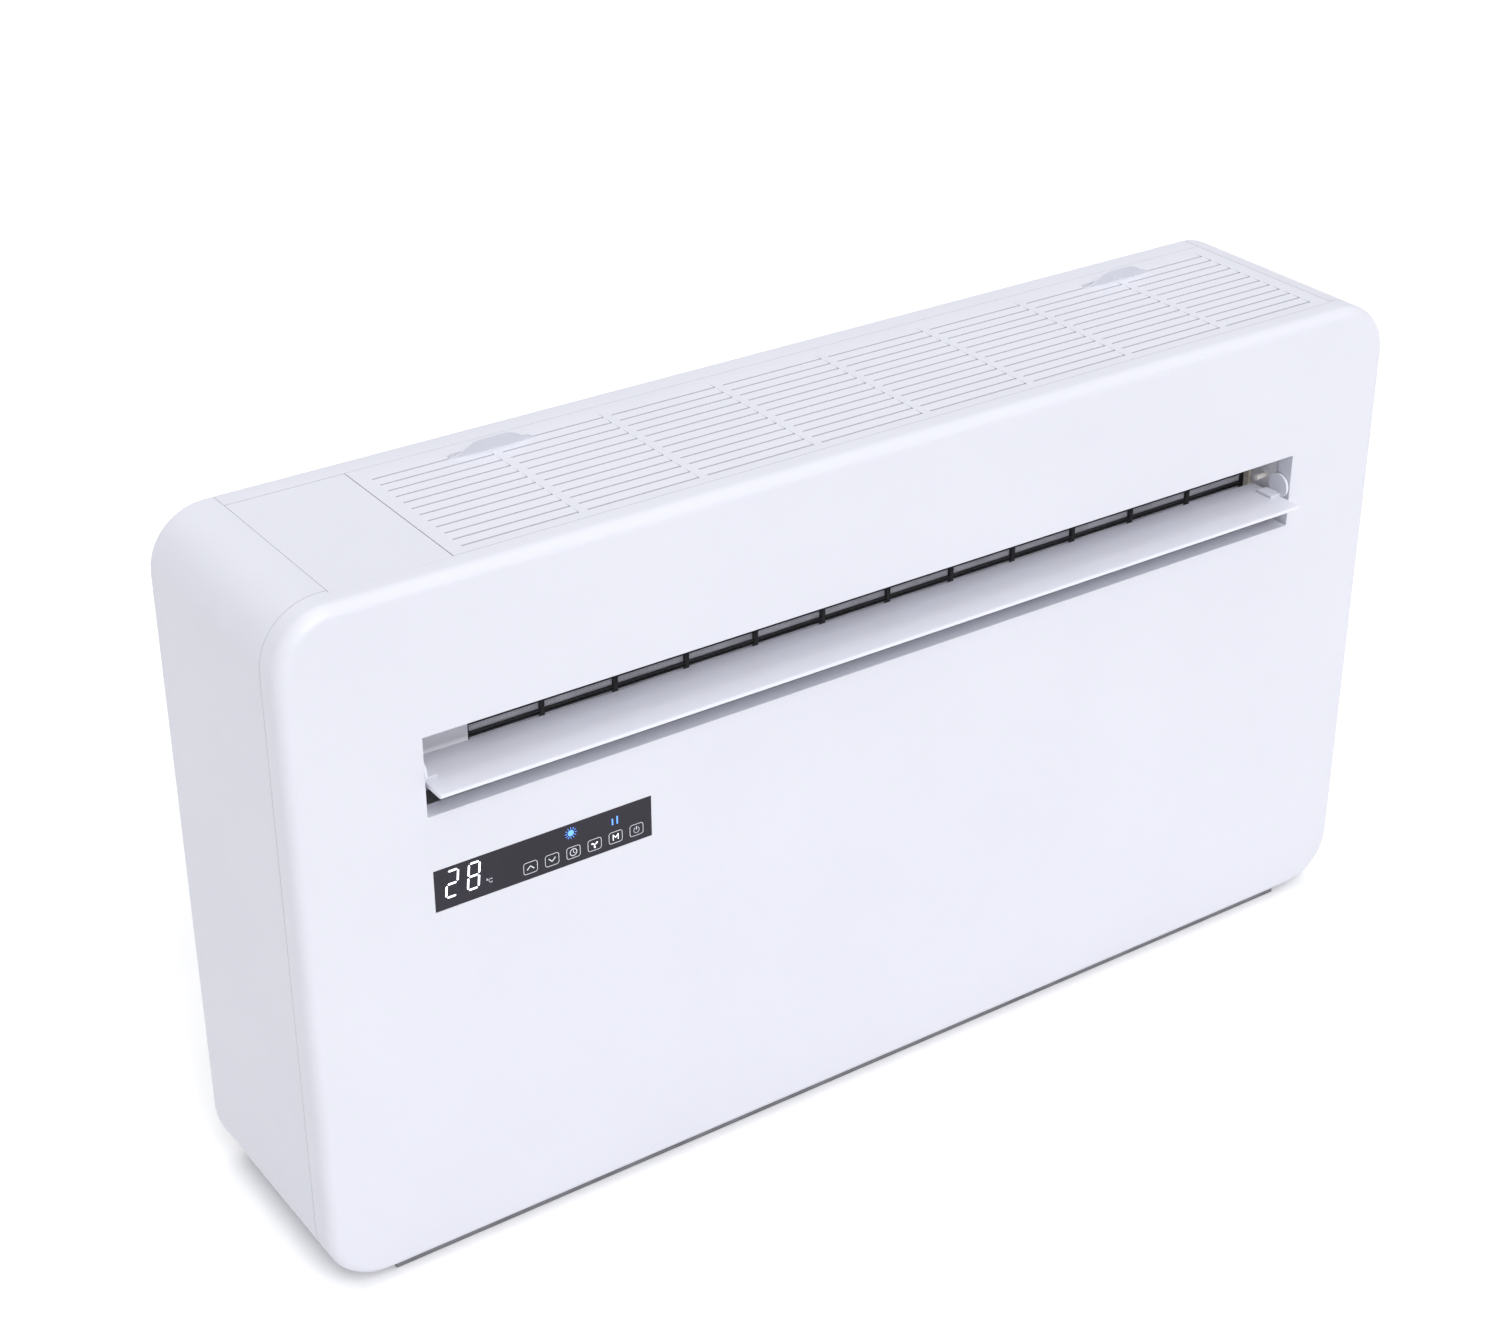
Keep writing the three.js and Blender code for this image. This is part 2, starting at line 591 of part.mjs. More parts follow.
function crossflowWheel() {
  const pieces = [];
  const discs = 4;
  for (let i = 0; i < discs; i += 1) {
    const x = BLOWER_LEFT + ((BLOWER_RIGHT - BLOWER_LEFT - 2) * i) / (discs - 1);
    const inner = i === 0 || i === discs - 1 ? 0 : 31;
    const disc = cylinder('x', BLOWER_Y, BLOWER_Z, BLOWER_R - 1.2, x, x + 2, 24);
    pieces.push(inner ? disc.subtract(cylinder('x', BLOWER_Y, BLOWER_Z, inner, x - 1, x + 3, 24)) : disc);
  }
  const blades = 18;
  for (let i = 0; i < blades; i += 1) {
    const start = (2 * Math.PI * i) / blades;
    const outer = [];
    const inner = [];
    for (let k = 0; k <= 1; k += 1) {
      const radius = 32 + k * 10;
      const angle = start + 0.24 * k;
      outer.push([radius, angle]);
      inner.push([radius, angle + 1.3 / radius]);
    }
    const loop = [...outer, ...inner.reverse()].map(([r, a]) => [
      BLOWER_Y + r * Math.cos(a),
      BLOWER_Z + r * Math.sin(a),
    ]);
    pieces.push(prismX(loop, BLOWER_LEFT + 0.5, BLOWER_RIGHT - 0.5));
  }
  pieces.push(cylinder('x', BLOWER_Y, BLOWER_Z, 9, BLOWER_LEFT - 3, BLOWER_LEFT + 14, 24));
  pieces.push(cylinder('x', BLOWER_Y, BLOWER_Z, 4, BLOWER_LEFT - 10.8, BLOWER_LEFT + 1, 20));
  pieces.push(cylinder('x', BLOWER_Y, BLOWER_Z, 4, BLOWER_RIGHT - 1, 414, 20));
  return joined(pieces);
}
place('crossflow_fan', crossflowWheel(), 'grey');
place('fan_bearing', joined([
  ring('x', BLOWER_Y, BLOWER_Z, 14, 4.3, 403, 412, 20),
  ring('x', BLOWER_Y, BLOWER_Z, 18, 13, 406.8, 409, 20),
]), 'rubber');
place('fan_motor', joined([
  cylinder('x', BLOWER_Y, BLOWER_Z, 32, -392, -354, 28),
  cylinder('x', BLOWER_Y, BLOWER_Z, 12, -355, -349, 24),
  cylinder('x', BLOWER_Y, BLOWER_Z, 4.6, -350, -347.2, 20),
  box(-390, -360, BLOWER_Y - 6, BLOWER_Y + 6, BLOWER_Z - 60.5, BLOWER_Z - 28),
]), 'zinc', 0.4, 1);

// ---------------------------------------------------------------- indoor coil

const COIL_A = [-64, 479];
const COIL_B = [72, 517];
const COIL_LENGTH = Math.hypot(COIL_B[0] - COIL_A[0], COIL_B[1] - COIL_A[1]);
const COIL_U = [(COIL_B[0] - COIL_A[0]) / COIL_LENGTH, (COIL_B[1] - COIL_A[1]) / COIL_LENGTH];

function coilPoint(along, across) {
  return [
    COIL_A[0] + COIL_U[0] * along - COIL_U[1] * across,
    COIL_A[1] + COIL_U[1] * along + COIL_U[0] * across,
  ];
}

function evaporator() {
  const section = [
    coilPoint(0, -12), coilPoint(COIL_LENGTH, -12), coilPoint(COIL_LENGTH, 12), coilPoint(0, 12),
  ];
  const pieces = [prismX(section, -330, 385)];
  const plate = [coilPoint(-1, -13), coilPoint(COIL_LENGTH + 1, -13),
    coilPoint(COIL_LENGTH + 1, 13), coilPoint(-1, 13)];
  pieces.push(prismX(plate, -333, -330.5), prismX(plate, 385.5, 388));
  pieces.push(prismX(section, -332, 387));
  for (let i = 0; i < 6; i += 1) {
    const [y0, z0] = coilPoint(12 + i * 22, -5);
    const [y1, z1] = coilPoint(12 + i * 22, 5);
    pieces.push(tube([
      [387, y0, z0], [394, y0, z0], [399, (y0 + y1) / 2, (z0 + z1) / 2], [394, y1, z1], [387, y1, z1],
    ], 3.2, 6, 6));
    if (i < 5) {
      const [y2, z2] = coilPoint(12 + (i + 1) * 22, -5);
      pieces.push(tube([
        [-332, y1, z1], [-339, y1, z1], [-345, (y1 + y2) / 2, (z1 + z2) / 2],
        [-339, y2, z2], [-332, y2, z2],
      ], 3.2, 6, 6));
    }
  }
  return joined(pieces);
}
place('evaporator_coil', evaporator(), 'aluminium', 0.4, 1);

let tray = box(-337, 403, -84, -46, 450, 464);
tray = tray.subtract(box(-335, 401, -82, -48, 452, 470));
place('drip_tray', tray, 'white');

// ---------------------------------------------------------------- electronics

let controlBox = box(-492, -408, -66, 40, 352, 520);
controlBox = controlBox.subtract(box(-490, -410, -70, 38, 354, 518));
place('control_box', controlBox, 'grey', 0.6);
place('main_board', joined([
  box(-486, -414, 28, 30, 362, 510),
  box(-480, -452, 6, 28.5, 440, 480),
  cylinder('y', -430, 470, 9, 4, 28.5, 24),
  cylinder('y', -430, 444, 9, 4, 28.5, 24),
  box(-478, -450, 14, 28.5, 380, 424),
  box(-442, -420, 18, 28.5, 376, 400),
  box(-476, -424, 18, 28.5, 494, 504),
]), 'green');
place('display_window', box(
  DISPLAY_LEFT + 0.15, DISPLAY_RIGHT - 0.15, FRONT, FRONT + 3.2,
  DISPLAY_LOW + 0.15, DISPLAY_HIGH - 0.15), 'glass', 0.2);
place('display_board', joined([
  box(DISPLAY_LEFT - 6, DISPLAY_RIGHT + 6, -94, -92.4, DISPLAY_LOW - 5, DISPLAY_HIGH + 5),
  box(DISPLAY_LEFT + 5, DISPLAY_LEFT + 42, -97.5, -93.5, DISPLAY_LOW + 5, DISPLAY_HIGH - 3),
  box(DISPLAY_LEFT + 60, DISPLAY_RIGHT - 8, -97.5, -93.5, DISPLAY_LOW + 4, DISPLAY_LOW + 14),
  box(DISPLAY_RIGHT - 24, DISPLAY_RIGHT - 4, -93, -86, DISPLAY_LOW + 4, DISPLAY_LOW + 12),
]), 'green');

// ---------------------------------------------------------------- outdoor-air side

place('mid_deck', joined([
  box(-490, 490, -70, 96, 344, 345.5),
  box(-490, 490, -70, -68.5, 330, 345),
]).subtract(box(428, 476, -65, -8, 340, 350)), 'zinc', 0.4, 1);

let pan = box(-452, 452, -70, 92, 3.3, 16);
pan = pan.subtract(box(-450, 450, -68, 90, 4.8, 20));
place('base_pan', pan, 'zinc', 0.4, 1);

function collar(x) {
  return ring('y', x, PORT_Z, PORT_R - 0.4, PORT_R - 3, 60, BACK - 0.3, 36)
    .add(ring('y', x, PORT_Z, PORT_R + 8, PORT_R - 3, 94.6, 97.2, 36));
}
place('exhaust_collar', collar(EXHAUST_X), 'white');
place('intake_collar', collar(INTAKE_X), 'white');

function condenser() {
  const x0 = -62;
  const x1 = -34;
  const pieces = [box(x0, x1, -60, 84, 20, 326)];
  pieces.push(box(x0 - 1, x1 + 1, -62, -60.5, 19, 327), box(x0, x1, -61, 85, 20, 326));
  for (let i = 0; i < 9; i += 1) {
    const z = 38 + i * 33;
    pieces.push(tube([
      [x0 + 8, -61, z], [x0 + 8, -68, z], [(x0 + x1) / 2, -74, z], [x1 - 8, -68, z], [x1 - 8, -61, z],
    ], 3.6, 6, 6));
  }
  return joined(pieces);
}
place('condenser_coil', condenser(), 'aluminium', 0.4, 1);

function radialWheel() {
  const pieces = [];
  const x = EXHAUST_X;
  const z = PORT_Z;
  pieces.push(cylinder('y', x, z, 66, -46, -43.5, 32));
  pieces.push(ring('y', x, z, 66, 56, 12, 15, 32));
  const blades = 24;
  for (let i = 0; i < blades; i += 1) {
    const start = (2 * Math.PI * i) / blades;
    const outer = [];
    const inner = [];
    for (let k = 0; k <= 1; k += 1) {
      const radius = 57 + k * 8;
      const angle = start + 0.14 * k;
      outer.push([radius, angle]);
      inner.push([radius, angle + 1.6 / radius]);
    }
    const loop = [...outer, ...inner.reverse()].map(([r, a]) => [x + r * Math.sin(a), z + r * Math.cos(a)]);
    pieces.push(prismY(loop, -44, 13));
  }
  pieces.push(cylinder('y', x, z, 16, -46, -20, 32, 10));
  return joined(pieces).subtract(cylinder('y', x, z, 4.2, -50, -10, 20));
}
place('exhaust_fan', radialWheel(), 'grey');
place('exhaust_fan_motor', joined([
  cylinder('y', EXHAUST_X, PORT_Z, 44, -76, -49, 28),
  cylinder('y', EXHAUST_X, PORT_Z, 3.9, -50, -19, 20),
  box(EXHAUST_X - 58, EXHAUST_X + 58, -78, -75, PORT_Z - 14, PORT_Z + 14),
]), 'zinc', 0.4, 1);

// Housing of the exhaust fan: a round drum that narrows to the rear collar.
function fanDrum() {
  const x = EXHAUST_X;
  const z = PORT_Z;
  let drum = cylinder('y', x, z, 92, -48, 56, 32).subtract(cylinder('y', x, z, 90, -46, 54, 32));
  drum = drum.subtract(cylinder('y', x, z, 72, 50, 60, 32));
  drum = drum.subtract(cylinder('y', x, z, 50, -60, -40, 32));
  return drum;
}
place('fan_drum', fanDrum().subtract(box(
  EXHAUST_X + 60, EXHAUST_X + 100, -30, 40, PORT_Z - 40, PORT_Z + 40)), 'white');

const COMPRESSOR_X = 352;
const COMPRESSOR_Y = 14;
let compressor = lathe([
  [0, 34], [30, 34], [48, 40], [52, 50], [52, 205], [49, 222], [36, 236], [14, 242], [0, 242], [0, 34],
], COMPRESSOR_X, COMPRESSOR_Y, 28);
const FEET = [30, 150, 270].map((degrees) => {
  const angle = THREE.MathUtils.degToRad(degrees);
  return [COMPRESSOR_X + 66 * Math.cos(angle), COMPRESSOR_Y + 66 * Math.sin(angle)];
});
for (const [x, y] of FEET) {
  const arm = new THREE.BoxGeometry(72, 26, 3);
  arm.translate(40, 0, 0);
  arm.rotateZ(Math.atan2(y - COMPRESSOR_Y, x - COMPRESSOR_X));
  arm.translate(COMPRESSOR_X, COMPRESSOR_Y, 37);
  compressor = compressor.add(solid(arm));
}
for (const [x, y] of FEET) compressor = compressor.subtract(cylinder('z', x, y, 6, 20, 45, 12));
compressor = compressor.add(box(
  COMPRESSOR_X - 16, COMPRESSOR_X + 16, COMPRESSOR_Y - 60, COMPRESSOR_Y - 48, 120, 160));
place('compressor', compressor, 'rubber', 0.4, 0.6);
FEET.forEach(([x, y], i) => {
  const foot = joined([
    cylinder('z', x, y, 10, 5.1, 35.2, 14),
    cylinder('z', x, y, 5.2, 34, 39.5, 14),
    cylinder('z', x, y, 8.5, 38.8, 44, 14),
  ]);
  place(`compressor_foot_${i + 1}`, foot, 'rubber');
});
place('accumulator', lathe([
  [0, 60], [16, 62], [22, 70], [22, 170], [16, 180], [5, 186], [0, 186], [0, 60],
], 436, -20, 20), 'rubber', 0.4, 0.6);

place('discharge_pipe', tube([
  [COMPRESSOR_X, COMPRESSOR_Y, 242.5], [COMPRESSOR_X, COMPRESSOR_Y, 275], [330, 0, 300], [250, -10, 306],
  [60, -20, 306], [0, -20, 306], [-33.4, -20, 306],
], 4), 'copper', 0.35, 1);
place('suction_pipe', tube([
  [436, -20, 186.5], [436, -20, 250], [442, -20, 330], [442, -20, 420], [434, -26, 474],
  [412, -38, 488], [398, -41.8, 485.6], [388.4, -41.8, 485.2],
], 5), 'copper', 0.35, 1);
place('accumulator_pipe', tube([
  [436, -20, 59.4], [436, -20, 52], [424, -14, 46], [410, -9, 54], [403, -6.5, 62],
], 4.5, 14), 'copper', 0.35, 1);
place('liquid_pipe', tube([
  [-33.4, 20, 40], [0, 20, 36], [120, 10, 30], [220, -20, 30], [262, -40, 44], [268, -40, 90],
], 3.2, 26, 7), 'copper', 0.35, 1);
place('filter_drier', lathe([
  [0, 90.4], [5, 92], [12, 102], [12, 150], [5, 160], [0, 161.6], [0, 90.4],
], 268, -40, 14), 'copper', 0.35, 1);
place('capillary_pipe', tube([
  [268, -40, 162], [268, -40, 200], [300, -56, 230], [400, -60, 300], [462, -58, 340], [466, -50, 420],
  [454, -54, 480], [420, -60, 488], [398, -60.5, 481], [388.4, -60.1, 480.1],
], 1.8, 40, 6), 'copper', 0.35, 1);
place('drain_spout', joined([
  ring('y', 430, 40, 7.6, 5, 91, BACK - 0.4, 16),
  ring('y', 430, 40, 12, 5, 92.5, 97.8, 16),
]), 'white');
place('cord_gland', joined([
  ring('y', 430, 86, 8.6, 4.5, 92, BACK - 0.4, 16),
  ring('y', 430, 86, 13, 4.5, 92.5, 97.8, 16),
]), 'rubber');

export default group;
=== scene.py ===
"""Looks of the wall-mounted air conditioner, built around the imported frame."""

import math

import bmesh
import bpy
from mathutils import Matrix, Vector


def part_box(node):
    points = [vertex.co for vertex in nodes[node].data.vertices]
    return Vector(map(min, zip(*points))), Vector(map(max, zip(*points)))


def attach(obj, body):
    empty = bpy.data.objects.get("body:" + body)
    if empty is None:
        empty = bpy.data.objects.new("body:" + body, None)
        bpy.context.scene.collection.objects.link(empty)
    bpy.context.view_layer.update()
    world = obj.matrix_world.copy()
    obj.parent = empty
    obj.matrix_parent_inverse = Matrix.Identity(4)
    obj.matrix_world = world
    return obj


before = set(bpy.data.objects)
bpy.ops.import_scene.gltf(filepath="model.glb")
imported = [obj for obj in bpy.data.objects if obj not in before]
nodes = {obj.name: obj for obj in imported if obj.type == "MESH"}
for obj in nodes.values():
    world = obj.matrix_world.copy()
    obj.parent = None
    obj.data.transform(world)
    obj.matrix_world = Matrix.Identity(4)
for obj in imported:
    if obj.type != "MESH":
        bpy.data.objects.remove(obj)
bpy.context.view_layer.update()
MM = 0.001

# Camera: where it stands in metres, where it looks, and its lens.
CAMERA_PLACE = (-1.11249, -1.53752, 1.37305)
AZIMUTH = math.radians(-34.31)
ELEVATION = math.radians(28.73)
ROLL = math.radians(-0.18)
LENS_MM = 65.71
SENSOR_MM = 36.0
FAR_CLIP = 200.0

# Studio: floor half width and its drop below the part, in metres, and the even sky light.
FLOOR_HALF = 55.0
FLOOR_DROP = 0.0004
SKY_STRENGTH = 0.36

# Mesh clean-up: split vertices closer than this are joined, and edges that turn more are kept.
WELD_DISTANCE = 0.00001
BEVEL_ANGLE = math.radians(40)
SHARP_ANGLE = math.radians(32)

# A wave texture repeats every 0.31416 / scale metres.
WAVE_LENGTH = 0.31416


# ------------------------------------------------------------------ materials


def new_material(name):
    """An empty node material with its output and one Principled shader."""
    material = bpy.data.materials.new(name)
    material.use_nodes = True
    tree = material.node_tree
    tree.nodes.clear()
    out = tree.nodes.new("ShaderNodeOutputMaterial")
    shader = tree.nodes.new("ShaderNodeBsdfPrincipled")
    tree.links.new(shader.outputs["BSDF"], out.inputs["Surface"])
    return material, tree, shader


def coordinates(tree, scale=(1, 1, 1)):
    """Object coordinates in metres, stretched by a scale."""
    place = tree.nodes.new("ShaderNodeTexCoord")
    mapping = tree.nodes.new("ShaderNodeMapping")
    mapping.inputs["Scale"].default_value = scale
    tree.links.new(place.outputs["Object"], mapping.inputs["Vector"])
    return mapping.outputs["Vector"]


def noise(tree, vector, scale, detail=3.0, rough=0.5):
    node = tree.nodes.new("ShaderNodeTexNoise")
    node.inputs["Scale"].default_value = scale
    node.inputs["Detail"].default_value = detail
    node.inputs["Roughness"].default_value = rough
    tree.links.new(vector, node.inputs["Vector"])
    return node.outputs["Fac"]


def ramp(tree, factor, low, high, start=0.3, end=0.7):
    """Colours from low to high as the factor goes from start to end."""
    node = tree.nodes.new("ShaderNodeValToRGB")
    node.color_ramp.elements[0].position = start
    node.color_ramp.elements[0].color = (*low, 1)
    node.color_ramp.elements[1].position = end
    node.color_ramp.elements[1].color = (*high, 1)
    tree.links.new(factor, node.inputs["Fac"])
    return node.outputs["Color"]


def span(tree, factor, low, high):
    """A number from low to high as the factor goes from 0 to 1."""
    node = tree.nodes.new("ShaderNodeMapRange")
    node.inputs["To Min"].default_value = low
    node.inputs["To Max"].default_value = high
    tree.links.new(factor, node.inputs["Value"])
    return node.outputs["Result"]


def multiplied(tree, first, second):
    """The product of two colours."""
    node = tree.nodes.new("ShaderNodeVectorMath")
    node.operation = "MULTIPLY"
    tree.links.new(first, node.inputs[0])
    tree.links.new(second, node.inputs[1])
    return node.outputs["Vector"]


def bump(tree, shader, height, strength, distance):
    node = tree.nodes.new("ShaderNodeBump")
    node.inputs["Strength"].default_value = strength
    node.inputs["Distance"].default_value = distance
    tree.links.new(height, node.inputs["Height"])
    tree.links.new(node.outputs["Normal"], shader.inputs["Normal"])


def plastic(name, colour, rough=0.4, grain=0.25, shift=0.012):
    """Moulded plastic: fine spark-eroded grain and faint uneven shade."""
    material, tree, shader = new_material(name)
    vector = coordinates(tree)
    low = tuple(max(c - shift, 0) for c in colour)
    high = tuple(min(c + shift, 1) for c in colour)
    tree.links.new(ramp(tree, noise(tree, vector, 7.0), low, high), shader.inputs["Base Color"])
    rough_value = span(tree, noise(tree, vector, 30.0), rough - 0.05, rough + 0.05)
    tree.links.new(rough_value, shader.inputs["Roughness"])
    bump(tree, shader, noise(tree, vector, 1500.0, 2.0), grain, 0.00004)
    return material


def galvanised(name, colour, streak):
    """Zinc-coated sheet: spangles and rolling streaks."""
    material, tree, shader = new_material(name)
    vector = coordinates(tree)
    cells = tree.nodes.new("ShaderNodeTexVoronoi")
    cells.inputs["Scale"].default_value = 170.0
    tree.links.new(vector, cells.inputs["Vector"])
    split = tree.nodes.new("ShaderNodeSeparateColor")
    tree.links.new(cells.outputs["Color"], split.inputs["Color"])
    streaks = noise(tree, coordinates(tree, streak), 1.0, 4.0)
    mix = tree.nodes.new("ShaderNodeMath")
    mix.operation = "ADD"
    tree.links.new(split.outputs["Red"], mix.inputs[0])
    tree.links.new(streaks, mix.inputs[1])
    half = span(tree, mix.outputs["Value"], 0.0, 0.5)
    low = tuple(c * 0.72 for c in colour)
    high = tuple(min(c * 1.25, 1) for c in colour)
    tree.links.new(ramp(tree, half, low, high, 0.15, 0.85), shader.inputs["Base Color"])
    tree.links.new(span(tree, split.outputs["Green"], 0.34, 0.55), shader.inputs["Roughness"])
    shader.inputs["Metallic"].default_value = 0.25
    bump(tree, shader, streaks, 0.12, 0.0002)
    return material


def metal(name, low, high, rough=0.35, scale=60.0):
    """Bare or plated metal with uneven tarnish."""
    material, tree, shader = new_material(name)
    vector = coordinates(tree)
    colour = ramp(tree, noise(tree, vector, scale, 5.0), low, high)
    tree.links.new(colour, shader.inputs["Base Color"])
    rough_value = span(tree, noise(tree, vector, 200.0), rough - 0.1, rough + 0.12)
    tree.links.new(rough_value, shader.inputs["Roughness"])
    shader.inputs["Metallic"].default_value = 1.0
    bump(tree, shader, noise(tree, vector, 700.0), 0.15, 0.0001)
    return material


def banded(name, axis, pitch, low, high):
    """Thin parallel metal fins across one axis, with painted shade in the dark bands between them."""
    material, tree, shader = new_material(name)
    wave = tree.nodes.new("ShaderNodeTexWave")
    wave.wave_type = "BANDS"
    wave.bands_direction = axis
    wave.inputs["Scale"].default_value = WAVE_LENGTH / pitch
    wave.inputs["Distortion"].default_value = 0.0
    tree.links.new(coordinates(tree), wave.inputs["Vector"])
    colour = ramp(tree, wave.outputs["Fac"], low, high, 0.25, 0.75)
    tree.links.new(colour, shader.inputs["Base Color"])
    shader.inputs["Metallic"].default_value = 0.8
    shader.inputs["Roughness"].default_value = 0.42
    bump(tree, shader, wave.outputs["Fac"], 0.8, 0.0004)
    return material


def woven(name, pitch, axes, dark, light):
    """Fine mesh of two crossed sets of threads, with painted shade in the holes between them, a little
    uneven in tone.
    """
    material, tree, shader = new_material(name)
    vector = coordinates(tree)
    facs = []
    for axis in axes:
        wave = tree.nodes.new("ShaderNodeTexWave")
        wave.wave_type = "BANDS"
        wave.bands_direction = axis
        wave.inputs["Scale"].default_value = WAVE_LENGTH / pitch
        tree.links.new(vector, wave.inputs["Vector"])
        facs.append(wave.outputs["Fac"])
    top = tree.nodes.new("ShaderNodeMath")
    top.operation = "MAXIMUM"
    tree.links.new(facs[0], top.inputs[0])
    tree.links.new(facs[1], top.inputs[1])
    # The dark colour between the threads is painted shade in the mesh's holes; the light colour is the
    # threads' own.
    threads = ramp(tree, top.outputs["Value"], dark, light, 0.55, 0.9)
    patches = ramp(tree, noise(tree, vector, 22.0, 4.0), (0.62, 0.62, 0.62), (1, 1, 1))
    tree.links.new(multiplied(tree, threads, patches), shader.inputs["Base Color"])
    shader.inputs["Roughness"].default_value = 0.7
    bump(tree, shader, top.outputs["Value"], 0.7, 0.0003)
    return material


def rubber(name, colour):
    material, tree, shader = new_material(name)
    vector = coordinates(tree)
    high = tuple(min(c + 0.015, 1) for c in colour)
    tree.links.new(ramp(tree, noise(tree, vector, 90.0), colour, high), shader.inputs["Base Color"])
    tree.links.new(span(tree, noise(tree, vector, 300.0), 0.65, 0.85), shader.inputs["Roughness"])
    bump(tree, shader, noise(tree, vector, 900.0, 4.0), 0.4, 0.0001)
    return material


def foam(name, colour):
    """Closed-cell sealing foam."""
    material, tree, shader = new_material(name)
    vector = coordinates(tree)
    low = tuple(c * 0.8 for c in colour)
    tree.links.new(ramp(tree, noise(tree, vector, 260.0, 5.0), low, colour), shader.inputs["Base Color"])
    shader.inputs["Roughness"].default_value = 0.9
    bump(tree, shader, noise(tree, vector, 800.0, 5.0), 0.6, 0.0003)
    return material


def lit(name, colour, strength):
    """A glowing mark behind the display glass, a little uneven as LEDs are."""
    material, tree, shader = new_material(name)
    vector = coordinates(tree)
    low = tuple(c * 0.86 for c in colour)
    glow = ramp(tree, noise(tree, vector, 180.0), low, colour)
    tree.links.new(glow, shader.inputs["Base Color"])
    tree.links.new(glow, shader.inputs["Emission Color"])
    shader.inputs["Emission Strength"].default_value = strength
    shader.inputs["Roughness"].default_value = 0.4
    return material


def smoked_glass(name):
    material, tree, shader = new_material(name)
    vector = coordinates(tree)
    colour = ramp(tree, noise(tree, vector, 12.0), (0.012, 0.010, 0.018), (0.016, 0.013, 0.023))
    tree.links.new(colour, shader.inputs["Base Color"])
    tree.links.new(span(tree, noise(tree, vector, 60.0), 0.1, 0.16), shader.inputs["Roughness"])
    shader.inputs["Specular IOR Level"].default_value = 0.3
    return material


def circuit(name):
    """Solder mask with copper tracks under it."""
    material, tree, shader = new_material(name)
    cells = tree.nodes.new("ShaderNodeTexVoronoi")
    cells.distance = "MANHATTAN"
    cells.inputs["Scale"].default_value = 210.0
    tree.links.new(coordinates(tree), cells.inputs["Vector"])
    mask = (0.01, 0.09, 0.035)
    track = (0.035, 0.2, 0.08)
    colour = ramp(tree, cells.outputs["Distance"], mask, track, 0.3, 0.4)
    tree.links.new(colour, shader.inputs["Base Color"])
    shader.inputs["Roughness"].default_value = 0.35
    bump(tree, shader, cells.outputs["Distance"], 0.3, 0.0001)
    return material


white = plastic("white_plastic", (0.635, 0.642, 0.705), 0.42, 0.22, 0.008)
# The flap's white is a lighter copy of the body's white plastic: painted light that brightens the flap
# where it sits in shade under the slot's upper lip.
flap_lit_white = plastic("flap_lit_white", (0.70, 0.707, 0.775), 0.36, 0.12, 0.006)
inner_white = plastic("inner_white", (0.84, 0.84, 0.90), 0.45, 0.2)
cream = plastic("cream_plastic", (0.82, 0.79, 0.73), 0.4, 0.15)
cream_foam = foam("cream_foam", (0.78, 0.73, 0.60))
black = plastic("black_plastic", (0.012, 0.012, 0.015), 0.45, 0.3, 0.003)
grey = plastic("grey_plastic", (0.09, 0.095, 0.105), 0.5, 0.3, 0.01)
glass = smoked_glass("display_glass")
board = circuit("circuit_board")
zinc = galvanised("zinc_sheet", (0.88, 0.87, 0.93), (400, 400, 14))
# The blower scroll's zinc is a darker copy of the zinc sheet: painted shade for the duct deep inside the
# outlet.
shaded_duct_zinc = galvanised("shaded_duct_zinc", (0.40, 0.43, 0.50), (14, 400, 400))
steel = metal("motor_steel", (0.42, 0.43, 0.45), (0.62, 0.63, 0.66), 0.38)
black_steel = metal("black_steel", (0.012, 0.012, 0.014), (0.03, 0.03, 0.033), 0.4)
# The base tray is steel, and its dark tone is also painted contact shadow: its front edge shows as the
# dark line under the cabinet's lower edge.
tray_steel_and_contact_shadow = metal("tray_steel_and_contact_shadow", (0.24, 0.24, 0.26), (0.30, 0.30, 0.32), 0.6)
copper = metal("copper_pipe", (0.50, 0.20, 0.10), (0.86, 0.45, 0.27), 0.3, 25.0)
FIN_PITCH = 0.0016
# The dark gap colour between the fins is painted shade; the light face colour is the fins' own metal.
FIN_GAP_SHADE = (0.12, 0.13, 0.15)
FIN_FACE = (0.75, 0.77, 0.8)
fins_x = banded("coil_fins", "X", FIN_PITCH, FIN_GAP_SHADE, FIN_FACE)
fins_z = banded("condenser_fins", "Z", FIN_PITCH, FIN_GAP_SHADE, FIN_FACE)
filter_mesh = woven("filter_mesh", 0.0014, ("X", "Y"), (0.42, 0.43, 0.47), (0.76, 0.77, 0.82))
wire_mesh = woven("wire_mesh", 0.0011, ("X", "Z"), (0.42, 0.42, 0.49), (0.84, 0.84, 0.93))
dark_rubber = rubber("dark_rubber", (0.012, 0.012, 0.013))

